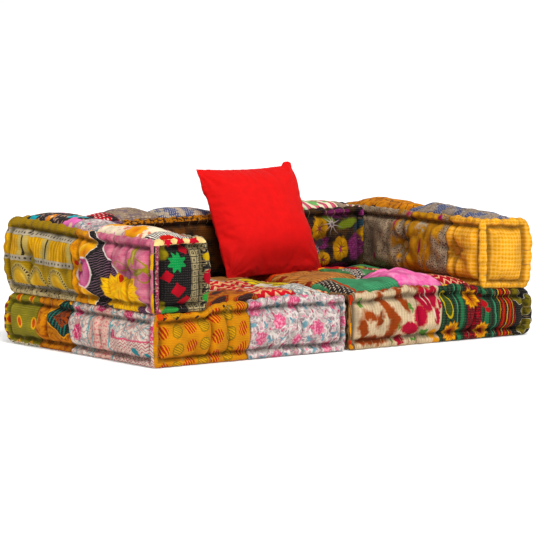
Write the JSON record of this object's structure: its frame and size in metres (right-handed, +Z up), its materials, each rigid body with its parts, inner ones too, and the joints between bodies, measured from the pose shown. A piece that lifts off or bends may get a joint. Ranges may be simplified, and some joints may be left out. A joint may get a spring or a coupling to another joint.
{
  "type": "modular pouf",
  "caption": "Low modular floor sofa of tufted patchwork seat cushions with rolled edges, loose arm and back bolsters and a red scatter pillow.",
  "frame": {"origin": "centre of the footprint of both seat cushions, on the floor", "axes": "+Z up, +X to the right along the front, front towards -Y"},
  "size_m": [1.6174, 0.8974, 0.5777],
  "materials": {
    "seat_left_patchwork": "quilted printed cotton, matte",
    "seat_right_patchwork": "quilted printed cotton, matte",
    "arm_left_patchwork": "quilted printed cotton, matte",
    "arm_right_patchwork": "quilted printed cotton, matte",
    "back_left_patchwork": "quilted printed cotton, matte",
    "back_right_patchwork": "quilted printed cotton, matte",
    "cotton_filling": "loose cotton and foam",
    "tuft_button": "satin",
    "tufting_twine": "waxed cotton twine",
    "pillow_cotton": "plain woven cotton, matte",
    "pillow_fibre": "fibre fill",
    "zip_tape": "moulded coil on woven tape",
    "zip_metal": "satin"
  },
  "bodies": {
    "seat_left": {"seat_left_cover": "seat_left_patchwork", "seat_left_filling": "cotton_filling", "seat_left_buttons": "tuft_button", "seat_left_twine": "tufting_twine"},
    "seat_right": {"seat_right_cover": "seat_right_patchwork", "seat_right_filling": "cotton_filling", "seat_right_buttons": "tuft_button", "seat_right_twine": "tufting_twine"},
    "arm_left": {"arm_left_cover": "arm_left_patchwork", "arm_left_filling": "cotton_filling", "arm_left_buttons": "tuft_button", "arm_left_twine": "tufting_twine"},
    "arm_right": {"arm_right_cover": "arm_right_patchwork", "arm_right_filling": "cotton_filling", "arm_right_buttons": "tuft_button", "arm_right_twine": "tufting_twine"},
    "back_left": {"back_left_cover": "back_left_patchwork", "back_left_filling": "cotton_filling", "back_left_buttons": "tuft_button", "back_left_twine": "tufting_twine"},
    "back_right": {"back_right_cover": "back_right_patchwork", "back_right_filling": "cotton_filling", "back_right_buttons": "tuft_button", "back_right_twine": "tufting_twine"},
    "pillow": {"pillow_cover": "pillow_cotton", "pillow_insert": "pillow_fibre", "pillow_zip": "zip_tape"},
    "zip_slider": {"pillow_zip_slider": "zip_metal"}
  },
  "joints": [
    {"name": "seats_apart", "type": "slide", "parent": "seat_left", "child": "seat_right", "axis": [1, 0, 0], "range_m": [0, 0.4]},
    {"name": "arm_left_lift", "type": "slide", "parent": "seat_left", "child": "arm_left", "axis": [0, 0, 1], "range_m": [0, 0.35]},
    {"name": "arm_right_lift", "type": "slide", "parent": "seat_right", "child": "arm_right", "axis": [0, 0, 1], "range_m": [0, 0.35]},
    {"name": "back_left_lift", "type": "slide", "parent": "seat_left", "child": "back_left", "axis": [0, 0.7071, 0.7071], "range_m": [0, 0.35]},
    {"name": "back_right_lift", "type": "slide", "parent": "seat_right", "child": "back_right", "axis": [0, 0.7071, 0.7071], "range_m": [0, 0.35]},
    {"name": "pillow_lift", "type": "slide", "parent": "seat_right", "child": "pillow", "axis": [0, 0, 1], "range_m": [0, 0.35]},
    {"name": "zip_run", "type": "hinge", "parent": "pillow", "child": "zip_slider", "pos_m": [0.068, -0.58523, -1.12717], "axis": [0, 0.8988, -0.4384], "range_deg": [0, 10.01]}
  ]
}
